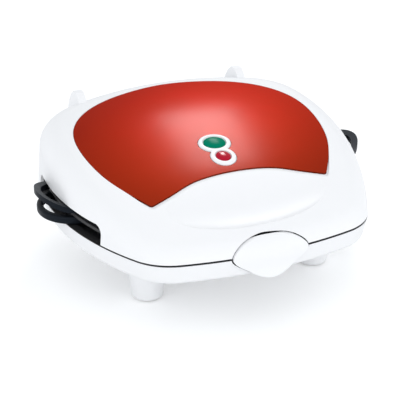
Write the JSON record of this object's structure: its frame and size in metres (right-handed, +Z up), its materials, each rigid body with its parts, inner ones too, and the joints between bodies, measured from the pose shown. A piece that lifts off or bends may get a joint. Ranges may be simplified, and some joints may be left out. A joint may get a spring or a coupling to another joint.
{
  "type": "sandwich and waffle maker",
  "caption": "Countertop sandwich and waffle maker: hinged domed lid with finger scoop and lights over a footed base, with removable plates held by clips and a front latch.",
  "frame": {"origin": "on the table, at the middle of the whole part's box", "axes": "+X to the right of a person in front, along the long side; +Y to the hinge at the back; +Z up"},
  "size_m": [0.2656, 0.2349, 0.1104],
  "materials": {
    "white_shell": "glossy, moulded, heat resistant",
    "red_panel": "glossy red lacquer",
    "green_lens": "clear tinted, glossy",
    "red_lens": "clear tinted, glossy",
    "nonstick": "black non-stick coating on cast aluminium, satin",
    "black_frame": "fine grained, heat resistant",
    "reflector": "bright pressed sheet",
    "element_steel": "heat-darkened tube",
    "steel": "zinc plated",
    "rubber": "grey, matt",
    "lamp_glass": "clear neon bulb",
    "block": "cream, moulded",
    "lead_sleeve": "silicone rubber sleeve"
  },
  "bodies": {
    "base": {"base_shell": "white_shell", "base_frame": "black_frame", "lower_plate": "nonstick", "lower_element": "element_steel", "lower_reflector": "reflector", "foot_pads": "rubber", "base_screws": "steel", "hinge_pins": "steel", "cord_gland": "black_frame", "latch_keeper": "steel", "terminal_block": "block", "base_leads": "lead_sleeve"},
    "lid": {"lid_shell": "white_shell", "top_panel": "red_panel", "indicator_bezel": "white_shell", "green_lens": "green_lens", "red_lens": "red_lens", "lamp_holder": "block", "neon_lamps": "lamp_glass", "lid_frame": "black_frame", "upper_plate": "nonstick", "upper_element": "element_steel", "upper_reflector": "reflector", "thermostat": "steel", "thermal_fuse": "steel", "lid_screws": "steel", "latch_pin": "steel"},
    "latch": {"latch": "white_shell"},
    "upper_clip": {"upper_clip": "black_frame"},
    "lower_clip": {"lower_clip": "black_frame"}
  },
  "joints": [
    {"name": "lid_hinge", "type": "hinge", "parent": "base", "child": "lid", "pos_m": [0, 0.1139, 0.0532], "axis": [-1, 0, 0], "range_deg": [0, 105]},
    {"name": "latch_pivot", "type": "hinge", "parent": "lid", "child": "latch", "pos_m": [0, -0.105, 0.0574], "axis": [-1, 0, 0], "range_deg": [-5, 9]},
    {"name": "upper_clip_slide", "type": "slide", "parent": "lid", "child": "upper_clip", "axis": [0, -1, 0], "range_m": [0, 0.0035]},
    {"name": "lower_clip_slide", "type": "slide", "parent": "base", "child": "lower_clip", "axis": [0, -1, 0], "range_m": [0, 0.0035]}
  ]
}
